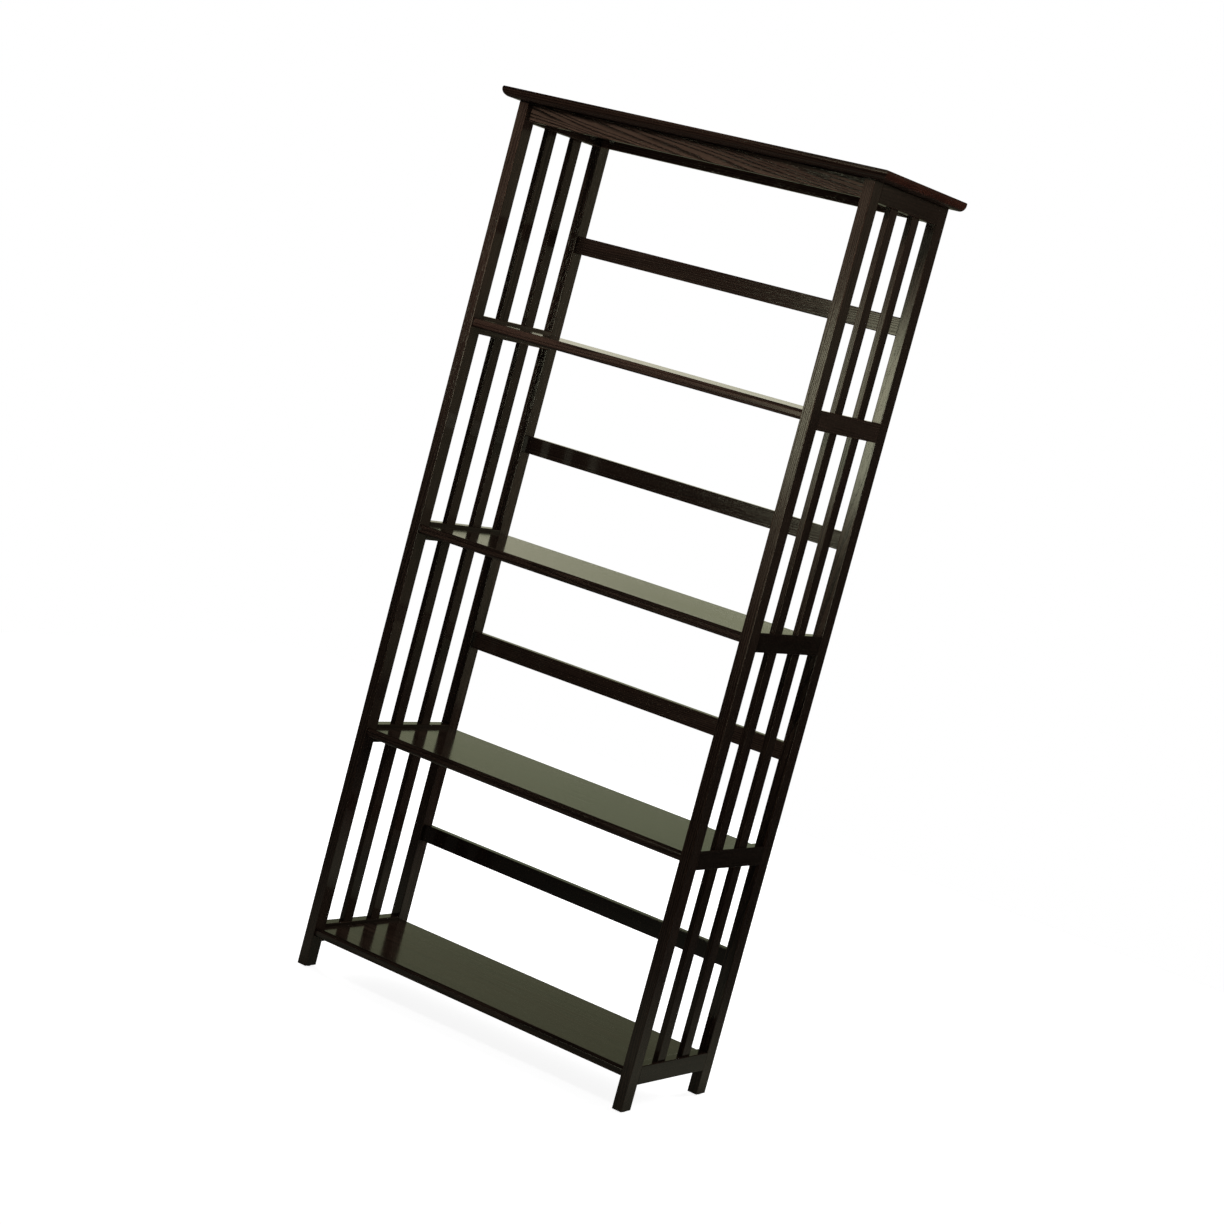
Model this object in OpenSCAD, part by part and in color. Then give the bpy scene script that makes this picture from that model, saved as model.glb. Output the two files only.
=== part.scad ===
// Open bookcase with slatted side frames, four fixed shelves and an overhanging top.
// Units are millimetres. +Z is up, the open front faces -Y.
// The origin is on the floor, in the middle of the space that the whole piece covers.

/* [Overall] */
// Floor to the upper face of the top board
overall_h = 1829; // [1780:1:1900]
// Width over the outer faces of the posts
frame_w = 818; // [700:1:900]
// Depth over the outer faces of the posts
frame_d = 320; // [290:1:380]

/* [Posts] */
// Post size across the width
post_w = 22; // [20:0.5:32]
// Post size across the depth
post_d = 35; // [32:0.5:45]
// Radius of the eased long edges of posts and rails
ease_r = 1.5; // [0.5:0.25:2.5]

/* [Top board] */
// Thickness of the top board
top_t = 19; // [18:0.5:28]
// Overhang of the top board past the posts at each side
top_side = 32; // [20:1:45]
// Overhang past the front posts
top_front = 24; // [16:1:40]
// Overhang past the rear posts
top_back = 6; // [0:1:20]
// Radius of the rounding under the front and side edges
top_round = 14; // [6:0.5:15]
// Radius of the upper front and side edges
top_ease = 2.5; // [0.5:0.25:3]

/* [Shelves] */
// Thickness of a shelf
shelf_t = 19; // [18:0.5:25]
// Distance that a shelf stands back from the front of the posts
shelf_front = 5; // [2:0.5:10]
// Distance that a shelf stops short of the back of the posts
shelf_rear = 20; // [10:1:40]
// Radius of the rounded front edge of a shelf, above and below
shelf_nose = 6; // [2:0.5:8.5]
// Height of the lowest shelf's upper face above the floor
shelf_low = 84; // [80:1:110]
// Height from one shelf to the next
shelf_pitch = 429; // [400:1:435]

/* [Side frames] */
// Height of a side rail
rail_h = 38; // [34:0.5:42]
// Height of a side rail's upper edge above the shelf
rail_lip = 7; // [5:0.5:9]
// Width of a slat
slat_w = 30; // [20:1:40]
// Thickness of a slat
slat_t = 12; // [10:0.5:14]
// Depth of the mortise that houses each end of a slat
slat_house = 8; // [5:0.5:9]
// Radius of a slat's long edges
slat_ease = 1; // [0.5:0.25:3]

/* [Cross rails] */
// Height of a back rail
back_h = 36; // [34:0.5:50]
// Thickness of a back rail
back_t = 19; // [18:0.5:22]
// Height of a back rail's lower edge above the shelf under it
back_rise = 178; // [120:1:240]
// Height of the front and rear aprons under the top
apron_h = 36; // [34:0.5:60]
// Thickness of the front and rear aprons
apron_t = 19; // [18:0.5:22]

/* [Fittings] */
// Diameter of a wooden dowel
dowel_d = 8; // [6:0.5:8]
// Length of a wooden dowel in the side frames
dowel_l = 30; // [20:1:34]
// Length of a wooden dowel in a shelf or back rail
peg_l = 26; // [22:1:28]
// Length of it that is held in the side frame
peg_hold = 11; // [8:0.5:13]
// Diameter of a cam lock
cam_d = 15; // [12:0.5:16]
// Distance from a board's end to the middle of its cam lock
cam_in = 24; // [20:1:34]
// Diameter of a connecting bolt's thread
bolt_d = 5; // [4:0.5:6]
// Depth of a connecting bolt's thread in the side frame
bolt_hold = 11; // [8:0.5:13]
// Diameter of a top screw
screw_d = 4; // [3.5:0.25:5]
// Length of a top screw
screw_l = 35; // [32:1:38]
// Length of its point that bites into the top board
screw_bite = 11; // [8:0.5:13]
// Distance from the posts to the screws of the front and rear aprons
screw_in = 140; // [60:1:250]
// Diameter of a foot glide
glide_d = 18; // [14:0.5:20]
// Thickness of a foot glide
glide_t = 2.5; // [1.5:0.25:5]

/* [Clearances] */
// Radial clearance of a dowel, bolt or screw in its hole
fit_gap = 0.1; // [0.05:0.05:0.2]
// Clearance of a cam lock in its pocket and of a slat in its mortise
seat_gap = 0.2; // [0.1:0.05:0.3]
// Clearance at the blind end of a hole or mortise
end_gap = 0.3; // [0.2:0.1:0.6]

/* [Hidden] */
$fn = 32;
SHELVES = 4;
BAYS = [1 : SHELVES];

// Planes of the frame, from the floor up and from the front back
overall_d = frame_d + top_front + top_back;
front_y = -overall_d / 2 + top_front;
rear_y = front_y + frame_d;
mid_y = (front_y + rear_y) / 2;
inner_w = frame_w - 2 * post_w;
post_x = (frame_w - post_w) / 2;
post_front_y = front_y + post_d / 2;
post_rear_y = rear_y - post_d / 2;
shelf_d = frame_d - shelf_front - shelf_rear;
top_under = overall_h - top_t;
apron_z = top_under - apron_h;
side_apron_z = top_under - rail_h;

function shelf_z(bay) = shelf_low + (bay - 1) * shelf_pitch;
function rail_z(bay) = shelf_z(bay) + rail_lip - rail_h;
function back_z(bay) = shelf_z(bay) + back_rise;
function above_z(bay) = bay < SHELVES ? rail_z(bay + 1) : side_apron_z;

// Side rails run between the posts, and the slats divide their length evenly
rail_l = frame_d - 2 * post_d;
slat_gap = (rail_l - 2 * slat_w) / 3;
slat_off = (slat_gap + slat_w) / 2;

// Places of the fittings along a shelf's end, and up a rail's end
bolt_y = rail_l / 2 - slat_gap / 2;
peg_y = slat_gap / 4;
dowel_rise = rail_h / 2 - dowel_d;
edge_margin = 4;
back_bolt_z = back_h / 2 - cam_d / 2 - edge_margin;
back_peg_z = -back_h / 2 + dowel_d / 2 + edge_margin;
shelf_mid = -shelf_t / 2;
apron_front_y = front_y + post_d - apron_t / 2;
apron_rear_y = rear_y - post_d + apron_t / 2;
screw_x = inner_w / 2 - screw_in;

// Details of the fittings
collar_d = bolt_d + 2;
collar_t = 2;
neck_d = bolt_d - 1.6;
bolt_top = cam_in - 2;
head_d = bolt_d + 1;
head_t = 3;
cam_cross_l = 9;
cam_cross_w = 1.5;
cam_cross_t = 2;
head_bore = head_d + 1;
bolt_soft = 0.6;
bolt_point = 1.5;
dowel_soft = 1;
screw_head_d = 2 * screw_d;
screw_head_t = screw_d * 0.6;
screw_point = 3;
screw_tip_d = 1;
screw_cross_w = 1;
screw_cross_t = 1.4;
sink_d = screw_head_d + 2;
glide_rim = 0.8;
glide_nail_d = 3;
glide_nail_l = 14;

// How far a cutter reaches past the face that it enters
over = 1;

WOOD = [0.16, 0.09, 0.06];
WOOD_DARK = [0.12, 0.07, 0.05];
PALE_WOOD = [0.72, 0.58, 0.40];
ZINC = [0.72, 0.72, 0.70];
STEEL = [0.55, 0.55, 0.56];
PLASTIC = [0.05, 0.05, 0.05];

// Flat shapes and bars

module eased_rect(size, r) {
    square([size[0] - 2 * r, size[1]], center = true);
    square([size[0], size[1] - 2 * r], center = true);
    for (x = [-1, 1], y = [-1, 1])
        translate([x * (size[0] / 2 - r), y * (size[1] / 2 - r)]) circle(r);
}

// A bar along X, its section eased, centred on the origin
module bar_x(length, depth, height, r = ease_r)
    rotate([90, 0, 90]) translate([0, 0, -length / 2])
        linear_extrude(length) eased_rect([depth, height], r);

// A bar along Y, centred on the origin
module bar_y(length, width, height, r = ease_r)
    rotate([90, 0, 0]) translate([0, 0, -length / 2])
        linear_extrude(length) eased_rect([width, height], r);

// A blind hole of a fitting's diameter and clearance, drilled along turn's direction
// from just outside the face
module hole(turn, d, l)
    rotate(turn) translate([0, 0, -over]) cylinder(h = l + over, d = d + 2 * fit_gap);

// Turns that point +Z out to a side or back to the middle, and to the rear or the front
function outwards(side) = [0, side * 90, 0];
function inwards(side) = [0, -side * 90, 0];
function along_y(end) = [-end * 90, 0, 0];

// Places of what joins the pieces. side is -1 for left and 1 for right,
// end is -1 for front and 1 for rear.

// The two dowels at one end of a side rail or side apron, on the joint's plane
module at_frame_dowels(side, end, mid_z)
    for (up = [-1, 1])
        translate([side * post_x, mid_y + end * rail_l / 2,
                   mid_z + up * dowel_rise])
            children();

// The two bolts at one end of a shelf, on the inner face of the side frame
module at_shelf_bolts(side, bay)
    for (end = [-1, 1])
        translate([side * inner_w / 2, mid_y + end * bolt_y, shelf_z(bay) + shelf_mid])
            children();

// The two dowels at one end of a shelf
module at_shelf_pegs(side, bay)
    for (end = [-1, 1])
        translate([side * inner_w / 2, mid_y + end * peg_y, shelf_z(bay) + shelf_mid])
            children();

module at_back_bolt(side, bay)
    translate([side * inner_w / 2, post_rear_y, back_z(bay) + back_h / 2 + back_bolt_z]) children();

module at_back_peg(side, bay)
    translate([side * inner_w / 2, post_rear_y, back_z(bay) + back_h / 2 + back_peg_z]) children();

module at_apron_bolt(side, end)
    translate([side * inner_w / 2, end < 0 ? apron_front_y : apron_rear_y, apron_z + apron_h / 2])
        children();

// The screws under the top: two in each cross apron and one in each side apron
module at_top_screws() {
    for (x = [-1, 1], y = [apron_front_y, apron_rear_y])
        translate([x * screw_x, y, top_under]) children();
    for (side = [-1, 1])
        translate([side * post_x, mid_y, top_under]) children();
}

// Posts

module post(side, end) {
    y = end < 0 ? post_front_y : post_rear_y;
    color(WOOD) difference() {
        translate([side * post_x, y, glide_t])
            linear_extrude(top_under - glide_t) eased_rect([post_w, post_d], ease_r);
        for (bay = BAYS)
            at_frame_dowels(side, end, rail_z(bay) + rail_h / 2)
                hole(along_y(end), dowel_d, dowel_l / 2 + end_gap);
        at_frame_dowels(side, end, side_apron_z + rail_h / 2)
            hole(along_y(end), dowel_d, dowel_l / 2 + end_gap);
        at_apron_bolt(side, end) hole(outwards(side), bolt_d, bolt_hold + end_gap);
        if (end > 0) for (bay = BAYS) {
            at_back_bolt(side, bay) hole(outwards(side), bolt_d, bolt_hold + end_gap);
            at_back_peg(side, bay) hole(outwards(side), dowel_d, peg_hold + end_gap);
        }
        translate([side * post_x, y, glide_t])
            hole([0, 0, 0], glide_nail_d, glide_nail_l + end_gap);
    }
}

// Side rails, side aprons and slats

// The mortises for two slats, cut into a rail from its upper or lower edge
module slat_mortises(side, z, up)
    for (row = [-1, 1])
        translate([side * post_x, mid_y + row * slat_off,
                   z + up * (over - slat_house - end_gap) / 2])
            cube([slat_t + 2 * seat_gap, slat_w + 2 * seat_gap, slat_house + end_gap + over],
                 center = true);

module side_bar(side, z)
    difference() {
        translate([side * post_x, mid_y, z + rail_h / 2])
            bar_y(rail_l, post_w, rail_h);
        for (end = [-1, 1])
            at_frame_dowels(side, end, z + rail_h / 2)
                hole(along_y(-end), dowel_d, dowel_l / 2 + end_gap);
    }

module side_rail(side, bay)
    color(WOOD) difference() {
        side_bar(side, rail_z(bay));
        slat_mortises(side, rail_z(bay) + rail_h, 1);
        if (bay > 1) slat_mortises(side, rail_z(bay), -1);
        at_shelf_bolts(side, bay) hole(outwards(side), bolt_d, bolt_hold + end_gap);
        at_shelf_pegs(side, bay) hole(outwards(side), dowel_d, peg_hold + end_gap);
    }

module side_apron(side)
    color(WOOD_DARK) difference() {
        side_bar(side, side_apron_z);
        slat_mortises(side, side_apron_z, -1);
        at_top_screws() screw_way();
    }

module slat(side, row, bay) {
    foot = rail_z(bay) + rail_h - slat_house;
    head = above_z(bay) + slat_house;
    color(WOOD)
        translate([side * post_x, mid_y + row * slat_off, foot])
            linear_extrude(head - foot) eased_rect([slat_t, slat_w], slat_ease);
}

// Boards and cross rails

// The bore for a bolt and the pocket for its cam lock, at a board's end.
// The pocket opens towards the side that turn brings -Z to.
module cam_seat(side, depth, turn)
    rotate(turn) {
        hole(inwards(side), head_bore, cam_in);
        translate([-side * cam_in, 0, -depth - over])
            cylinder(h = over + depth + head_bore / 2 + seat_gap, d = cam_d + 2 * seat_gap);
    }

// A shelf's section, rounded at the front and eased at the rear
module shelf_section() {
    part_d = shelf_d / 2 + shelf_nose;
    off = (shelf_d - part_d) / 2;
    translate([-off, 0]) eased_rect([part_d, shelf_t], shelf_nose);
    translate([off, 0]) eased_rect([part_d, shelf_t], ease_r);
}

module shelf(bay)
    color(WOOD) difference() {
        translate([-inner_w / 2, front_y + shelf_front + shelf_d / 2, shelf_z(bay) - shelf_t / 2])
            rotate([90, 0, 90]) linear_extrude(inner_w) shelf_section();
        for (side = [-1, 1]) {
            at_shelf_bolts(side, bay) cam_seat(side, shelf_t / 2, [0, 0, 0]);
            at_shelf_pegs(side, bay) hole(inwards(side), dowel_d, peg_l - peg_hold + end_gap);
        }
    }

module back_rail(bay)
    color(WOOD_DARK) difference() {
        translate([0, post_rear_y, back_z(bay) + back_h / 2]) bar_x(inner_w, back_t, back_h);
        for (side = [-1, 1]) {
            at_back_bolt(side, bay) cam_seat(side, back_t / 2, [90, 0, 0]);
            at_back_peg(side, bay) hole(inwards(side), dowel_d, peg_l - peg_hold + end_gap);
        }
    }

// The cam pockets face inwards, where the top's shadow hides them
module cross_apron(end)
    color(WOOD) difference() {
        translate([0, end < 0 ? apron_front_y : apron_rear_y, apron_z + apron_h / 2])
            bar_x(inner_w, apron_t, apron_h);
        for (side = [-1, 1])
            at_apron_bolt(side, end) cam_seat(side, apron_t / 2, end < 0 ? [90, 0, 0] : [-90, 0, 0]);
        at_top_screws() screw_way();
    }

// What a roundover cutter takes off one edge: a square less its round
module edge_cut(length, r)
    linear_extrude(length) difference() {
        translate([-over, -over]) square(r + over);
        translate([r, r]) circle(r);
    }

module top_board() {
    w = frame_w + 2 * top_side;
    color(WOOD) difference() {
        translate([-w / 2, -overall_d / 2, top_under]) cube([w, overall_d, top_t]);
        // the front edge, under and over
        translate([-w / 2 - over, -overall_d / 2, top_under]) rotate([90, 0, 90])
            edge_cut(w + 2 * over, top_round);
        translate([w / 2 + over, -overall_d / 2, overall_h]) rotate([90, 90, -90])
            edge_cut(w + 2 * over, top_ease);
        // the side edges, under and over
        for (side = [0, 1]) mirror([side, 0, 0]) {
            translate([-w / 2, overall_d / 2 + over, top_under]) rotate([90, 0, 0])
                edge_cut(overall_d + 2 * over, top_round);
            translate([-w / 2, -overall_d / 2 - over, overall_h]) rotate([-90, 0, 0])
                edge_cut(overall_d + 2 * over, top_ease);
        }
        at_top_screws() screw_way();
    }
}

// Fittings

module dowel(l) {
    body_l = l - 2 * dowel_soft;
    cylinder(h = body_l, d = dowel_d, center = true);
    for (end = [0, 180]) rotate([end, 0, 0]) translate([0, 0, body_l / 2])
        cylinder(h = dowel_soft, d1 = dowel_d, d2 = dowel_d - 2 * dowel_soft);
}

module frame_dowels()
    color(PALE_WOOD) for (side = [-1, 1], end = [-1, 1]) {
        for (bay = BAYS)
            at_frame_dowels(side, end, rail_z(bay) + rail_h / 2)
                rotate([90, 0, 0]) dowel(dowel_l);
        at_frame_dowels(side, end, side_apron_z + rail_h / 2)
            rotate([90, 0, 0]) dowel(dowel_l);
    }

// A dowel across a joint's plane, peg_hold of it in the side frame
module peg(side)
    translate([-side * (peg_l / 2 - peg_hold), 0, 0]) rotate([0, 90, 0]) dowel(peg_l);

module shelf_dowels()
    color(PALE_WOOD) for (side = [-1, 1], bay = BAYS) {
        at_shelf_pegs(side, bay) peg(side);
        at_back_peg(side, bay) peg(side);
    }

// A bolt along +Z: the thread below the joint's plane, then collar, neck and head
module bolt()
    rotate_extrude() polygon([
        [0, -bolt_hold], [bolt_d / 2 - bolt_point / 2, -bolt_hold],
        [bolt_d / 2, -bolt_hold + bolt_point], [bolt_d / 2, 0],
        [collar_d / 2, 0], [collar_d / 2, collar_t], [neck_d / 2, collar_t + bolt_soft],
        [neck_d / 2, bolt_top - head_t], [head_d / 2, bolt_top - head_t + bolt_soft],
        [head_d / 2, bolt_top - bolt_soft], [head_d / 2 - bolt_soft, bolt_top], [0, bolt_top]
    ]);

// A cam lock along Z: a drum open to one side for the bolt's head, with a cross slot below
module cam(side, depth) {
    drum_h = depth + head_bore / 2;
    translate([-side * cam_in, 0, -depth]) difference() {
        cylinder(h = drum_h, d = cam_d);
        // the way in for the bolt's head, and the room it turns in
        translate([0, 0, depth]) rotate([0, side * 90, 0]) cylinder(h = cam_d, d = head_bore);
        translate([0, 0, depth]) sphere(d = head_bore);
        // the cross slot
        for (turn = [0, 90]) rotate(turn)
            cube([cam_cross_l, cam_cross_w, 2 * cam_cross_t], center = true);
    }
}

module at_all_bolts(side) {
    for (bay = BAYS) {
        at_shelf_bolts(side, bay) children(0);
        at_back_bolt(side, bay) children(0);
    }
    for (end = [-1, 1]) at_apron_bolt(side, end) children(0);
}

module connecting_bolts()
    color(STEEL) for (side = [-1, 1]) at_all_bolts(side) rotate(inwards(side)) bolt();

module cam_locks()
    color(ZINC) for (side = [-1, 1]) {
        for (bay = BAYS) {
            at_shelf_bolts(side, bay) cam(side, shelf_t / 2);
            at_back_bolt(side, bay) rotate([90, 0, 0]) cam(side, back_t / 2);
        }
        at_apron_bolt(side, -1) rotate([90, 0, 0]) cam(side, apron_t / 2);
        at_apron_bolt(side, 1) rotate([-90, 0, 0]) cam(side, apron_t / 2);
    }

// A top screw's place, measured down from the joint between apron and top board
screw_head_z = screw_bite - screw_l;
screw_sink_z = screw_head_z + screw_head_t + end_gap;

// Counterbore, clearance hole and pilot hole for a top screw
module screw_way() {
    reach = max(rail_h, apron_h) + over;
    translate([0, 0, -reach]) cylinder(h = reach + screw_sink_z, d = sink_d);
    translate([0, 0, -screw_l]) cylinder(h = screw_l + screw_bite + end_gap, d = screw_d + 2 * fit_gap);
}

module top_screw()
    translate([0, 0, screw_head_z]) difference() {
        union() {
            cylinder(h = screw_head_t, d = screw_head_d);
            cylinder(h = screw_l - screw_point, d = screw_d);
            translate([0, 0, screw_l - screw_point])
                cylinder(h = screw_point, d1 = screw_d, d2 = screw_tip_d);
        }
        for (turn = [0, 90]) rotate(turn)
            cube([screw_d, screw_cross_w, 2 * screw_cross_t], center = true);
    }

module top_screws() color(STEEL) at_top_screws() top_screw();

// A round plastic foot pressed onto the post's end, with a nail up into the post
module foot_glide() {
    cylinder(h = glide_rim, d1 = glide_d - 2 * glide_rim, d2 = glide_d);
    translate([0, 0, glide_rim]) cylinder(h = glide_t - glide_rim, d = glide_d);
    cylinder(h = glide_t + glide_nail_l, d = glide_nail_d);
}

module foot_glides()
    color(PLASTIC) for (side = [-1, 1], y = [post_front_y, post_rear_y])
        translate([side * post_x, y, 0]) foot_glide();

post(-1, -1);  // post_front_left
post(1, -1);  // post_front_right
post(-1, 1);  // post_rear_left
post(1, 1);  // post_rear_right
top_board();
cross_apron(-1);  // front_apron
cross_apron(1);  // rear_apron
side_apron(-1);  // left_apron
side_apron(1);  // right_apron
side_rail(-1, 1);  // left_rail_1
side_rail(-1, 2);  // left_rail_2
side_rail(-1, 3);  // left_rail_3
side_rail(-1, 4);  // left_rail_4
side_rail(1, 1);  // right_rail_1
side_rail(1, 2);  // right_rail_2
side_rail(1, 3);  // right_rail_3
side_rail(1, 4);  // right_rail_4
slat(-1, -1, 1);  // left_front_slat_1
slat(-1, -1, 2);  // left_front_slat_2
slat(-1, -1, 3);  // left_front_slat_3
slat(-1, -1, 4);  // left_front_slat_4
slat(-1, 1, 1);  // left_rear_slat_1
slat(-1, 1, 2);  // left_rear_slat_2
slat(-1, 1, 3);  // left_rear_slat_3
slat(-1, 1, 4);  // left_rear_slat_4
slat(1, -1, 1);  // right_front_slat_1
slat(1, -1, 2);  // right_front_slat_2
slat(1, -1, 3);  // right_front_slat_3
slat(1, -1, 4);  // right_front_slat_4
slat(1, 1, 1);  // right_rear_slat_1
slat(1, 1, 2);  // right_rear_slat_2
slat(1, 1, 3);  // right_rear_slat_3
slat(1, 1, 4);  // right_rear_slat_4
shelf(1);  // shelf_1
shelf(2);  // shelf_2
shelf(3);  // shelf_3
shelf(4);  // shelf_4
back_rail(1);  // back_rail_1
back_rail(2);  // back_rail_2
back_rail(3);  // back_rail_3
back_rail(4);  // back_rail_4
frame_dowels();
shelf_dowels();
connecting_bolts();
cam_locks();
top_screws();
foot_glides();
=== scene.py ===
from math import cos, pi, radians, sin

import bpy
from mathutils import Matrix, Vector


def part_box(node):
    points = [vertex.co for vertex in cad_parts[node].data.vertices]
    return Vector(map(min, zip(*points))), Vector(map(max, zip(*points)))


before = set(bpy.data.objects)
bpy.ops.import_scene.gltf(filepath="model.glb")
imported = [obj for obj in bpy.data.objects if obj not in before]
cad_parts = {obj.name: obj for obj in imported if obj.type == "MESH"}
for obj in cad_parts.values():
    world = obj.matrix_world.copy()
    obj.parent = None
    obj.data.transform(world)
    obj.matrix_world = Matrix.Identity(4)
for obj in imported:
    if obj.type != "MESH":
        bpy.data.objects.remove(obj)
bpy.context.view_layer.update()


# Posts: four straight lengths of ash, 22 by 35 mm, with eased arrises. They are stained
# nearly black, sprayed with a satin lacquer, and drilled for dowels and connecting bolts.

class Finish:
    """One output of a node in a material, so that sums on it read as sums on numbers."""

    def __init__(self, tree, node=None, output=0):
        self.tree, self.node = tree, node
        self.socket = node and node.outputs[output]

    def add(self, kind, settings=None, output=0, **sockets):
        """Adds a node: its settings first, then its sockets, each by its name or as i and its
        number. A socket takes a value or another node's output."""
        new = self.tree.nodes.new("ShaderNode" + kind)
        for setting, value in (settings or {}).items():
            if setting == "stops":
                stops = new.color_ramp.elements
                while len(stops) < len(value):
                    stops.new(0.5)
                for stop, (place, colour) in zip(stops, value):
                    stop.position, stop.color = place, (*colour, 1)
            else:
                setattr(new, setting, value)
        for name, value in sockets.items():
            key = int(name[1:]) if name[1:].isdigit() else name.replace("_", " ")
            if isinstance(value, Finish):
                self.tree.links.new(value.socket, new.inputs[key])
            else:
                new.inputs[key].default_value = value
        return Finish(self.tree, new, output)

    def other(self, output):
        """Another output of the same node."""
        return Finish(self.tree, self.node, output)

    def maths(self, operation, *values):
        """A Math node on numbers, other nodes' outputs, or both."""
        sockets = {f"i{place}": value for place, value in enumerate(values)}
        return self.add("Math", {"operation": operation}, **sockets)

    def __add__(self, other):
        return self.maths("ADD", self, other)

    def __mul__(self, other):
        return self.maths("MULTIPLY", self, other)

    def __sub__(self, other):
        return self.maths("SUBTRACT", self, other)

    def __rsub__(self, other):
        return self.maths("SUBTRACT", other, self)

    def __truediv__(self, other):
        return self.maths("DIVIDE", self, other)

    def __rtruediv__(self, other):
        return self.maths("DIVIDE", other, self)

    __radd__, __rmul__ = __add__, __mul__

    def between(self, low, high):
        """0 below low, 1 above high, and a smooth step in between."""
        return self.add("MapRange", {"interpolation_type": "SMOOTHSTEP"},
                        Value=self, From_Min=low, From_Max=high)

    def spread(self, along, across, through=None):
        """A vector with its three lengths multiplied. Under a noise, these are about how many
        of its lumps lie in a metre: few along the grain, and many across and through it."""
        scale = (along, across, across if through is None else through)
        return self.add("VectorMath", {"operation": "MULTIPLY"}, i0=self, i1=scale)

    def noise(self, detail=3.0, rough=0.5):
        """A cloudy pattern on this vector, between 0 and 1 and mostly near a half."""
        return self.add("TexNoise", Vector=self, Scale=1.0, Detail=detail, Roughness=rough)

    def mixes(self, first, second, way="MIX"):
        """Two colours mixed by this mask: where it is 0, the first one stays as it is."""
        return self.add("Mix", {"data_type": "RGBA", "blend_type": way}, output=2,
                        i0=self, i6=first, i7=second)

    def tint(self, mask, colour):
        """This colour, turned to another one where the mask is 1."""
        return mask.mixes(self, colour)


def finish_for(name, finish):
    """A new material in the slot of a CAD piece: its tree and its shader."""
    material = bpy.data.materials.new(finish)
    material.use_nodes = True
    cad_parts[name].material_slots[0].material = material
    return Finish(material.node_tree), material.node_tree.nodes["Principled BSDF"]


def feed(shader, sockets):
    """Numbers and colours go on the shader's own sockets, and what varies is linked."""
    for name, value in sockets.items():
        if isinstance(value, Finish):
            value.tree.links.new(value.socket, shader.inputs[name])
        else:
            shader.inputs[name].default_value = value


# how a board lies: the turn that brings its grain onto the pattern's first axis,
# and the order in which that turn puts X, Y and Z
LIE = {"x": ((0, 0, 0), (0, 1, 2)),
       "y": ((-pi / 2, -pi / 2, 0), (1, 2, 0)),
       "z": ((pi / 2, 0, pi / 2), (2, 0, 1))}
# the stain on late and on early wood, where it gathers redder, in the pores, and on an
# arris where it is rubbed thin
LATE_WOOD, EARLY_WOOD = (0.0440, 0.0267, 0.0182), (0.0105, 0.0060, 0.0044)
RED_STAIN = (0.0330, 0.0150, 0.0105)
PORE = (0.0040, 0.0026, 0.0021, 1)
THIN_STAIN = (0.062, 0.029, 0.017, 1)
# in metres: how far in from an arris the rubbing fades out and how much that sways, and
# how deep the whole relief of the lacquer is
RUB_FROM, RUB_TO, RUB_SWAY = 0.0003, 0.0016, 0.0030
SKIN_DEPTH = 0.00025


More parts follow.
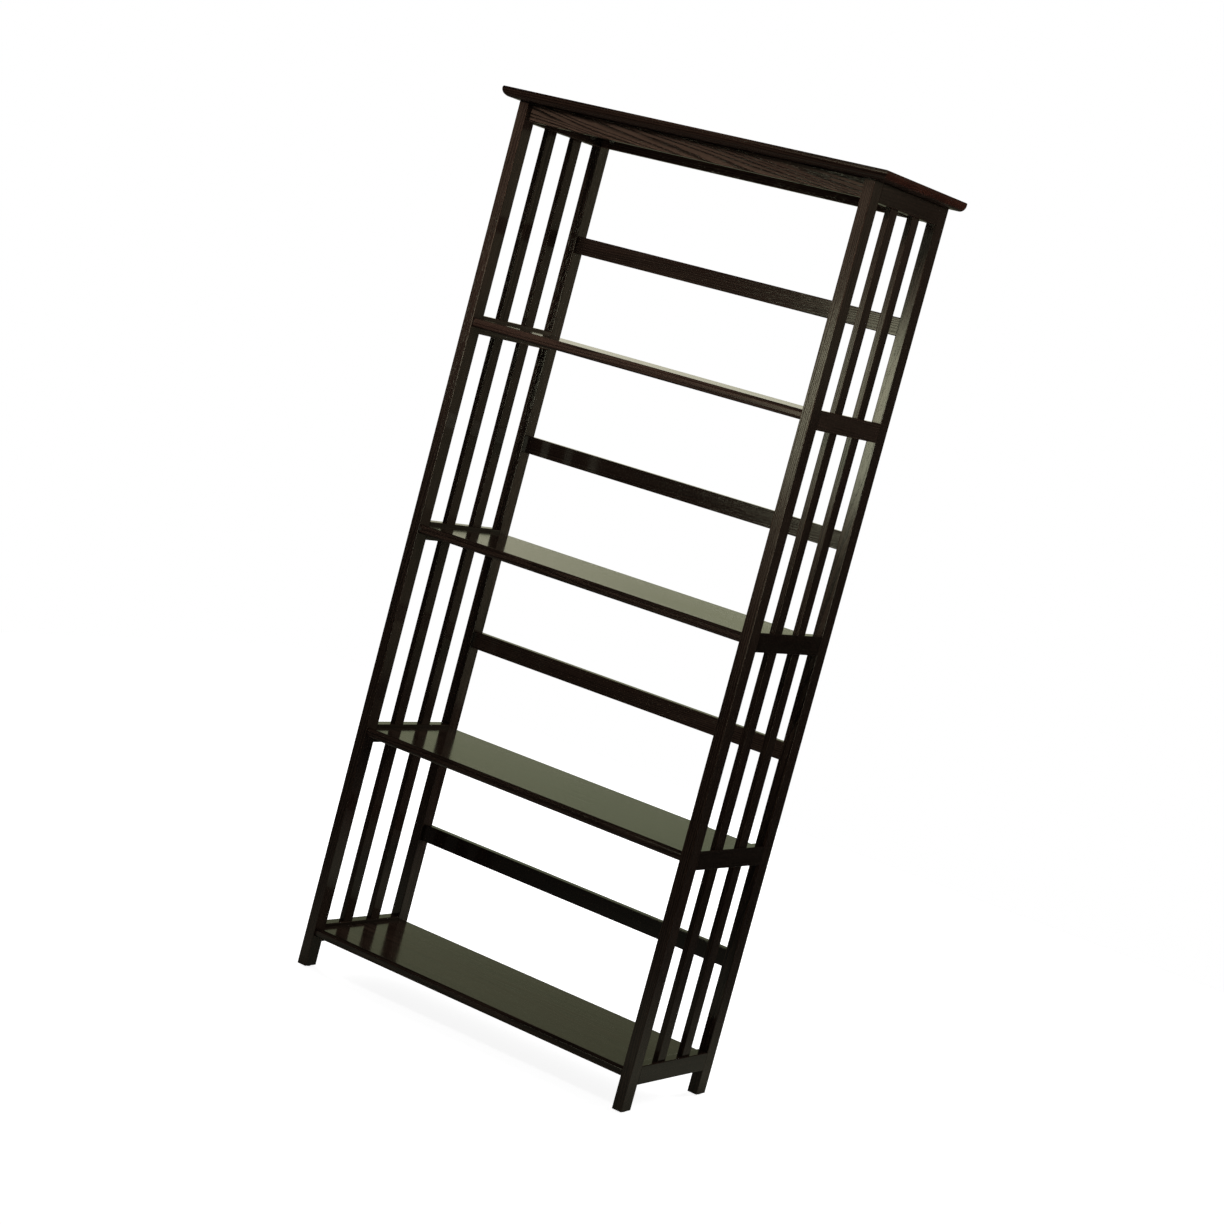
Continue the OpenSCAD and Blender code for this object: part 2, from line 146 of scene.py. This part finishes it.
def stained_ash(name, grain, cut, ring=0.0032, stain_and_shade=1.0, contrast=1.0, figure=1.0, gloss=0.06,
                lacquer=1.5, tilt=0.9, pore_depth=0.25, relief=0.10, sink=0.0, edge_shade_and_stain=None):
    """Ring-porous ash under stain and lacquer.
    cut: where in the log the board grew, across and through from the pith, in metres
    ring: the width of a year's growth; tilt: degrees between the board and the pith
    stain_and_shade: how light the board is painted, below 1 darker and above 1 lighter: partly
    its own stain, and partly painted light and painted shade for how its place is lit; contrast:
    between early and late wood
    figure: how strongly the rings show; relief: how far the late wood stands proud
    pore_depth: how deep the pores lie; sink: how far the lacquer sinks in long streaks
    gloss: the lacquer's roughness; lacquer: how strongly it bends light
    edge_shade_and_stain: what the colours of the long edges and of the ends are multiplied by,
    partly as stain and partly as painted light and painted shade by the way a face turns"""
    tree, shader = finish_for(name, name + "_finish")
    low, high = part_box(name)
    turn, order = LIE[grain]
    middle = [(low[i] + high[i]) / 2 for i in order]
    half = [(high[i] - low[i]) / 2 for i in order]
    # each board comes from a stretch of log of its own, which its name picks
    along_log = sum(ord(letter) * (i + 3) for i, letter in enumerate(name)) % 89 * 0.37

    # the board's own lengths: along its grain, across and through it, from its middle
    place = tree.add("TexCoord", output=3)
    board = tree.add("Mapping", Vector=place, Rotation=turn, Location=[-m for m in middle])
    # the same point in the log, where the pith runs slightly aslant of the board and sways
    log = tree.add("Mapping", Vector=board, Rotation=(0, radians(tilt), radians(-0.6 * tilt)),
                   Location=(along_log, cut[0], cut[1]))
    sway = log.spread(1.6, 9).noise(2.0).other(1)
    sway = sway.add("VectorMath", {"operation": "SUBTRACT"}, i0=sway, i1=(0.5, 0.5, 0.5))
    log = log.add("VectorMath", {"operation": "ADD"}, i0=log, i1=sway.spread(0, 0.018))

    # growth rings, no two of one width: open early wood that darkens, then dense late wood
    crosswise = log.spread(0, 1)
    radius = tree.add("VectorMath", {"operation": "LENGTH"}, output=1, i0=crosswise)
    drift = log.spread(0.7, 55).noise(1.0) * 2.6 + log.spread(7, 200).noise(2.0) * 0.3
    year = tree.maths("FRACT", radius / ring + drift)
    late = year.between(0.10, 0.60) * (1 - year.between(0.88, 1.0))

    # pores lie in rows in the early wood and are few in the late wood
    pores = log.spread(42, 1350).noise(2.0, 0.55).between(0.55, 0.66)
    pores = pores * (1 - late * 0.8)
    fibre = log.spread(7, 380).noise(4.0, 0.62)
    cloud = log.spread(2.2, 24).noise(2.0)

    tone = 0.47 + (late - 0.5) * (0.50 * figure) + (fibre - 0.5) * 1.1 + (cloud - 0.5) * 0.9
    tone = tone.between(-0.15, 1.05)
    # the board's stain factor darkens or lightens all its colours, partly as its own stain and
    # partly as painted light and painted shade
    dark = tuple(part * stain_and_shade / contrast for part in EARLY_WOOD) + (1,)
    pale = tuple(part * stain_and_shade * contrast for part in LATE_WOOD) + (1,)
    colour = tone.mixes(dark, pale)
    # stain gathers redder in some places than in others
    colour = colour.tint(log.spread(4, 40).noise(2.0).between(0.50, 0.85) * 0.55,
                         tuple(part * stain_and_shade for part in RED_STAIN) + (1,))
    colour = colour.tint(pores * 0.80, PORE)
    facing = tree.add("SeparateXYZ", Vector=tree.add("NewGeometry", output=1))
    # long edges and ends take colours of their own by the way they face: partly stain, partly
    # painted light and painted shade
    if edge_shade_and_stain:
        edge = 1 - tree.maths("ABSOLUTE", facing.other(2)).between(0.55, 0.95)
        end = tree.maths("ABSOLUTE", facing).between(0.3, 0.7)
        colour = edge.mixes(colour, end.mixes(*edge_shade_and_stain), "MULTIPLY")

    # stain rubbed thin along the arrises, where sanding and handling reach first
    across = tree.add("SeparateXYZ", output=1, Vector=board)
    from_edge = tree.maths("MAXIMUM", half[1] - tree.maths("ABSOLUTE", across),
                           half[2] - tree.maths("ABSOLUTE", across.other(2)))
    rub = board.spread(40, 240).noise(4.0, 0.65)
    arris = 1 - (from_edge + (rub - 0.45) * RUB_SWAY).between(RUB_FROM, RUB_TO)
    colour = colour.tint(arris * (0.6 * stain_and_shade), THIN_STAIN)

    # the lacquer lies a little uneven, and is thin and duller on undersides, sprayed last
    film = board.spread(14, 70).noise(3.0, 0.6)
    peel = board.spread(330, 330).noise(1.0)
    below = (0 - facing.other(2)).between(0.6, 0.95)
    proud = late * relief
    if edge_shade_and_stain:
        proud = (proud + log.spread(3, 35).noise(3.0, 0.7) * sink) * (1 - edge)
        pores = pores * (1 - edge * 0.7)
    height = fibre * 0.08 + peel * 0.06 - pores * pore_depth + proud
    feed(shader, {
        "Base Color": colour,
        "Roughness": gloss + pores * (0.16 * pore_depth) + film * 0.04 + arris * 0.08
                     + below * 0.2,
        "IOR": lacquer,
        "Normal": tree.add("Bump", Strength=0.35, Distance=SKIN_DEPTH, Height=height),
    })


# each post's place in the log, and how light its stain is painted: the rear posts are painted
# darker, partly as painted shade
POSTS = {"post_front_left": ((0.031, 0.058), 0.9), "post_front_right": ((-0.044, 0.049), 0.95),
         "post_rear_left": ((0.052, -0.037), 0.85), "post_rear_right": ((-0.028, -0.066), 0.8)}
for name, (cut, stain_and_shade) in POSTS.items():
    stained_ash(name, "z", cut, stain_and_shade=stain_and_shade)


# Side rails and side aprons: five short lengths on each side, dowelled between the front
# and the rear post. The rails carry the shelves' ends, and all are mortised for slats.

# the side rails' stains differ level by level, partly as painted light and painted shade: the
# highest pair is painted lighter
for side, turn_of_log in (("left", 1), ("right", -1)):
    for level, stain_and_shade in enumerate((0.50, 0.42, 0.50, 1.25), start=1):
        stained_ash(f"{side}_rail_{level}", "y", (turn_of_log * (0.022 + 0.009 * level), 0.047),
                    stain_and_shade=stain_and_shade, figure=0.7, relief=0.04)
    stained_ash(f"{side}_apron", "y", (turn_of_log * 0.038, -0.055), stain_and_shade=0.75, figure=0.7,
                relief=0.04)


# Slats: thin upright ash laths, 12 by 30 mm, two in each bay of each side. Their ends are
# housed in the rails' mortises, and their lacquer is a little duller than the posts'.

for side, turn_of_log in (("left", 1), ("right", -1)):
    for row, depth in (("front", 0.041), ("rear", 0.063)):
        for level in (1, 2, 3, 4):
            stained_ash(f"{side}_{row}_slat_{level}", "z",
                        (turn_of_log * (0.018 + 0.011 * level), depth), stain_and_shade=0.80, gloss=0.075,
                        lacquer=1.38)


# Shelves: four boards, 19 mm thick, faced with ash veneer whose grain runs the long way.
# Their lacquer has sunk a little along the grain. Cam locks hold them to the side rails.

# the shelves' edges and ends are painted lighter than their tops, as painted light on the noses
SHELF_EDGE_PAINTED_LIGHT = (1.5, 1.45, 1.45, 1)
for level in (1, 2, 3, 4):
    stained_ash(f"shelf_{level}", "x", (0.012 * level - 0.02, 0.075), ring=0.0046,
                stain_and_shade=0.65, figure=1.3, gloss=0.10, tilt=0.7, pore_depth=0.15, relief=0.32,
                sink=0.9, edge_shade_and_stain=(SHELF_EDGE_PAINTED_LIGHT, SHELF_EDGE_PAINTED_LIGHT))


# Back rails and the front and rear aprons: straight lengths between the rear posts and
# under the top. The front apron was sawn aslant of the pith, so that its figure is bold.

# the back rails' stains differ level by level, partly as painted light and painted shade: the
# second is painted lighter
for level, stain_and_shade in enumerate((0.50, 1.8, 0.50, 0.70), start=1):
    stained_ash(f"back_rail_{level}", "x", (0.03 + 0.006 * level, 0.05), stain_and_shade=stain_and_shade,
                pore_depth=0.10)
# the rear apron is painted much lighter than the rest, as painted light standing in for the light
# its shaded face lacks
stained_ash("rear_apron", "x", (0.041, -0.045), stain_and_shade=2.4)
stained_ash("front_apron", "x", (-0.010, -0.030), ring=0.0062, stain_and_shade=0.72, contrast=1.9,
            figure=1.9, tilt=-4.8)


# Top board: one board 19 mm thick, screwed on from below. Its lower front and side edges
# are rounded over, and it is finished like the shelves. Its ends took redder stain.

# the top's front and rear edges are painted darker, as painted shade; its ends keep a redder
# stain
TOP_EDGE_PAINTED_SHADE, TOP_END = (0.41, 0.355, 0.34, 1), (1.50, 0.80, 0.70, 1)
stained_ash("top_board", "x", (0.045, 0.09), ring=0.0044, figure=1.2, gloss=0.10,
            tilt=0.6, pore_depth=0.30, relief=0.20,
            edge_shade_and_stain=(TOP_EDGE_PAINTED_SHADE, TOP_END))


# Dowels: beech pins with chamfered ends, left bare. They are glued into the side frames,
# and locate the shelves and back rails when the bookcase is put together.

BEECH, BEECH_FLECK = (0.50, 0.33, 0.19, 1), (0.34, 0.20, 0.10, 1)
for name in ("frame_dowels", "shelf_dowels"):
    tree, shader = finish_for(name, name + "_beech")
    place = tree.add("TexCoord", output=3)
    fleck = place.spread(900, 900).noise(3.0).between(0.5, 0.7)
    feed(shader, {"Base Color": (fleck * 0.6).mixes(BEECH, BEECH_FLECK),
                  "Roughness": 0.55 + fleck * 0.15})


# Connecting bolts and top screws: steel, zinc plated, driven into the side frames and up
# through the aprons. Cam locks: die-cast zinc drums that draw the bolts' heads in.

ZINC_PLATE, CAST_ZINC = (0.60, 0.60, 0.61), (0.48, 0.48, 0.47)
for name, metal, rough in (("connecting_bolts", ZINC_PLATE, 0.28),
                           ("top_screws", ZINC_PLATE, 0.28),
                           ("cam_locks", CAST_ZINC, 0.42)):
    tree, shader = finish_for(name, name + "_metal")
    place = tree.add("TexCoord", output=3)
    cloud = place.spread(420, 420).noise(3.0)
    grit = place.spread(2600, 2600).noise(1.0)
    dull = tuple(0.7 * part for part in metal)
    colour = cloud.between(0.4, 0.8).mixes((*metal, 1), (*dull, 1))
    feed(shader, {"Base Color": colour, "Metallic": 1.0, "Roughness": rough + cloud * 0.15,
                  "Normal": tree.add("Bump", Strength=0.2, Distance=0.0001, Height=grit)})


# Foot glides: black moulded plastic buttons, nailed under the posts, and scuffed grey
# where they have slid over a floor.

BLACK_PLASTIC, SCUFFED_PLASTIC = (0.010, 0.010, 0.010, 1), (0.035, 0.034, 0.033, 1)
tree, shader = finish_for("foot_glides", "black_plastic")
place = tree.add("TexCoord", output=3)
scuff = place.spread(500, 500).noise(4.0, 0.65)
plastic = scuff.between(0.45, 0.75).mixes(BLACK_PLASTIC, SCUFFED_PLASTIC)
feed(shader, {"Base Color": plastic, "Roughness": 0.42 + scuff * 0.2})


# Studio: a plain pale floor, a white surround and soft lamps. The floor adds light of its
# own, for the camera only, so that it looks white and still holds the shadow.

FLOOR_REACH, FLOOR_TONE, FLOOR_GLOW = 3, 0.62, 0.90
bpy.ops.object.select_all(action="DESELECT")
bpy.ops.mesh.primitive_plane_add(size=2 * FLOOR_REACH, location=(0, 0, 0))
floor = bpy.context.object
floor.name = "floor"
paint = bpy.data.materials.new("pale_floor")
paint.use_nodes = True
floor.data.materials.append(paint)
tree, shader = Finish(paint.node_tree), paint.node_tree.nodes["Principled BSDF"]
feed(shader, {"Base Color": (FLOOR_TONE, FLOOR_TONE, FLOOR_TONE, 1), "Roughness": 0.9,
              "Specular IOR Level": 0.0})
path = tree.add("LightPath")
glow = tree.add("Emission", Color=(1, 1, 1, 1), Strength=path.other("Is Camera Ray") * FLOOR_GLOW)
lit = tree.add("AddShader", i0=glow, i1=Finish(tree.tree, shader))
# for mirrored rays the floor is a painted reflection that glows with no lamp on it: darker
# right under the bookcase as painted shade round the feet, palest half a metre out, and dim
# a step further away
FLOOR_REFLECTION_REACH = 2.0
PAINTED_FLOOR_REFLECTION = [(0.0, (0.09, 0.09, 0.065)), (0.20, (0.09, 0.09, 0.065)), (0.27, (0.18, 0.18, 0.135)),
         (0.60, (0.05, 0.048, 0.04)), (1.0, (0.02, 0.018, 0.015))]
place = tree.add("TexCoord", output=3)
away = tree.add("VectorMath", {"operation": "LENGTH"}, output=1, i0=place)
painted_reflection = tree.add("ValToRGB", {"stops": PAINTED_FLOOR_REFLECTION}, Fac=away / FLOOR_REFLECTION_REACH)
painted_reflection = tree.add("Emission", Color=painted_reflection, Strength=1.0)
ground = tree.add("MixShader", i0=path.other("Is Glossy Ray"), i1=lit, i2=painted_reflection)
# from below, the floor isn't there
ground = tree.add("MixShader", i0=tree.add("NewGeometry", output=6), i1=ground,
                  i2=tree.add("BsdfTransparent"))
feed(tree.tree.nodes["Material Output"], {"Surface": ground})

world = bpy.data.worlds.new("studio")
bpy.context.scene.world = world
world.use_nodes = True
tree = Finish(world.node_tree)
path = tree.add("LightPath")
direction = tree.add("TexCoord", output=0)
height = tree.add("SeparateXYZ", output=2, Vector=direction)


def towards(azimuth, elevation):
    """How nearly a mirrored ray points this way: azimuth 0 is along +Y, and 90 along +X."""
    flat = cos(radians(elevation))
    way = (flat * sin(radians(azimuth)), flat * cos(radians(azimuth)), sin(radians(elevation)))
    return tree.add("VectorMath", {"operation": "DOT_PRODUCT"}, output=1, i0=direction, i1=way)


def glow_at(azimuth, elevation, half_wide, half_tall, fade):
    """1 where a mirrored ray meets a lamp of this size in degrees, 0 beyond its faded edge."""
    aside = tree.maths("ABSOLUTE", towards(azimuth + 90, 0))
    above = tree.maths("ABSOLUTE", height - sin(radians(elevation)))
    within = 1 - aside.between(sin(radians(half_wide - fade)), sin(radians(half_wide + fade)))
    low, high = sin(radians(half_tall - fade)), sin(radians(half_tall + fade))
    # and only on this side of the room, not behind the ray as well
    return within * (1 - above.between(low, high)) * towards(azimuth, 0).between(0.5, 0.6)


# what the lacquer mirrors behind the bookcase is white paper, brightest near the floor line
# and fading upwards; the bands of its light lean, lower towards the right
SHEET_AT, LEAN_AT = -32, 59
SHEET = [(0.0, (1.10, 1.05, 0.885)), (0.05, (0.62, 0.60, 0.45)), (0.10, (0.345, 0.355, 0.235)),
         (0.127, (0.305, 0.315, 0.20)), (0.155, (0.335, 0.36, 0.228)),
         (0.206, (0.275, 0.312, 0.20)), (0.231, (0.22, 0.235, 0.145)),
         (0.258, (0.147, 0.155, 0.093)), (0.32, (0.145, 0.152, 0.09)), (1.0, (0.05, 0.05, 0.04))]
above = height.between(0, 0.01)
lean = (towards(LEAN_AT, 0).between(-0.08, 0.08) - 0.5) * height.between(0.03, 0.09)
lean = lean * (0.086 - height * 0.26)
up_sheet = tree.maths("ABSOLUTE", height) * (2.5 - above * 1.5) + lean
sheet = tree.add("ValToRGB", {"stops": SHEET}, Fac=up_sheet)

# round about is a dim room, with a grey card on the right
DIM_ROOM, GREY_CARD, CARD_AT = (0.014, 0.012, 0.010, 1), (0.12, 0.118, 0.075, 1), 50
room = towards(SHEET_AT, 0).between(0.80, 0.93).mixes(DIM_ROOM, sheet)
room = room.tint(towards(CARD_AT, 0).between(0.94, 0.972), GREY_CARD)

# what shines in it: a colour, and azimuth, elevation, half width, half height and fade
MIRRORED = {
    "strip of the card": ((0.16, 0.16, 0.108, 1), (33.1, 0, 1.5, 40, 0.9)),
    "dimmer strip beside it": ((0.12, 0.12, 0.08, 1), (28.9, 5, 0.9, 6, 0.6)),
    "lamp in front, to the left": ((6.1, 6.1, 4.3, 1), (201, -0.95, 6.6, 1.9, 0.7)),
    "glow below that lamp": ((0.24, 0.23, 0.16, 1), (201, -3.0, 7.5, 2.2, 1.2)),
    "glow above it": ((0.17, 0.165, 0.115, 1), (203, 3.2, 6.6, 2.2, 0.9)),
    "small lamp to the right": ((7.0, 7.0, 5.2, 1), (140, -4.2, 8.0, 2.2, 1.5)),
}
for colour, where in MIRRORED.values():
    room = glow_at(*where).mixes(room, colour, "ADD")

# the wood's own colour is lit by an even fill, and the camera sees a white surround
FILL = (0.095, 0.095, 0.095, 1)
light = path.other("Is Glossy Ray").mixes(FILL, room)
plain = tree.maths("MAXIMUM", path.other("Is Camera Ray"), path.other("Is Transmission Ray"))
feed(world.node_tree.nodes["Background"], {"Color": light.tint(plain, (1, 1, 1, 1))})


def hang(lamp, place, aim):
    """The lamp on a stand of its own, turned to face a point."""
    stand = bpy.data.objects.new(lamp.name, lamp)
    bpy.context.scene.collection.objects.link(stand)
    stand.location = place
    stand.rotation_euler = (Vector(aim) - Vector(place)).to_track_quat("-Z", "Y").to_euler()
    stand.visible_glossy = stand.visible_camera = False
    return stand


def softbox(name, place, aim, width, height, strength, spread=180):
    """A flat lamp. A spread below 180 degrees is a grid before it that narrows its beam."""
    lamp = bpy.data.lights.new(name, "AREA")
    lamp.shape, lamp.size, lamp.size_y = "RECTANGLE", width, height
    lamp.energy = strength * pi * width * height
    lamp.spread = radians(spread)
    hang(lamp, place, aim)


# in front, a wide beam with a soft edge that reaches down to the third shelf
BEAM_WIDER = 1.9
beam = bpy.data.lights.new("front", "SPOT")
beam.energy = 238
beam.spot_size, beam.spot_blend, beam.shadow_soft_size = radians(27), 0.80, 0.3
hang(beam, (-0.45, -2.6, 2.5), (0.12, -0.15, 1.58)).scale = (BEAM_WIDER, 1, 1)
# and soft lamps above and all round
softbox("overhead", (-0.3, -1.45, 3.2), (0, -0.1, 1.7), 1.0, 0.6, 2.0, 80)
softbox("right_side", (2.6, -0.4, 2.4), (0, 0, 2.0), 0.9, 0.9, 0.85, 60)
softbox("left_side", (-2.8, 0.6, 1.4), (0, 0, 1.0), 1.4, 1.4, 7.0)
softbox("rear", (0.6, 3.0, 1.5), (0, 0, 1.0), 1.6, 1.4, 12.0)


# Camera: at the place that the photograph's edges give, rolled by the angle at which the
# picture hangs, with a small shift that frames the whole bookcase. FOCAL and CENTRE, where
# its axis meets the picture, are in pixels of a picture PICTURE wide.

PICTURE = 1224
FOCAL = 2616.27
SENSOR = 36.0
PICTURE_HANGS, CAMERA_LEANS = 14.91, 0.059
YAW, PITCH = radians(31.257), radians(-5.713)
ROLL = radians(PICTURE_HANGS + CAMERA_LEANS)
CENTRE = (622.29, 573.35)
right = Vector((cos(YAW), sin(YAW), 0))
ahead = Vector((-sin(YAW) * cos(PITCH), cos(YAW) * cos(PITCH), sin(PITCH)))
up = right.cross(ahead)
rolled_right = cos(ROLL) * right + sin(ROLL) * up
rolled_up = cos(ROLL) * up - sin(ROLL) * right
camera = bpy.data.objects.new("camera", bpy.data.cameras.new("camera"))
bpy.context.scene.collection.objects.link(camera)
camera.matrix_world = Matrix((rolled_right, rolled_up, -ahead)).transposed().to_4x4()
camera.location = (2.68940, -4.41068, 1.47563)
camera.data.sensor_width = SENSOR
camera.data.lens = FOCAL / PICTURE * SENSOR
camera.data.shift_x = (PICTURE / 2 - CENTRE[0]) / PICTURE
camera.data.shift_y = (CENTRE[1] - PICTURE / 2) / PICTURE
camera.data.clip_end = 200
bpy.context.scene.camera = camera
bpy.context.scene.view_settings.view_transform = "Standard"
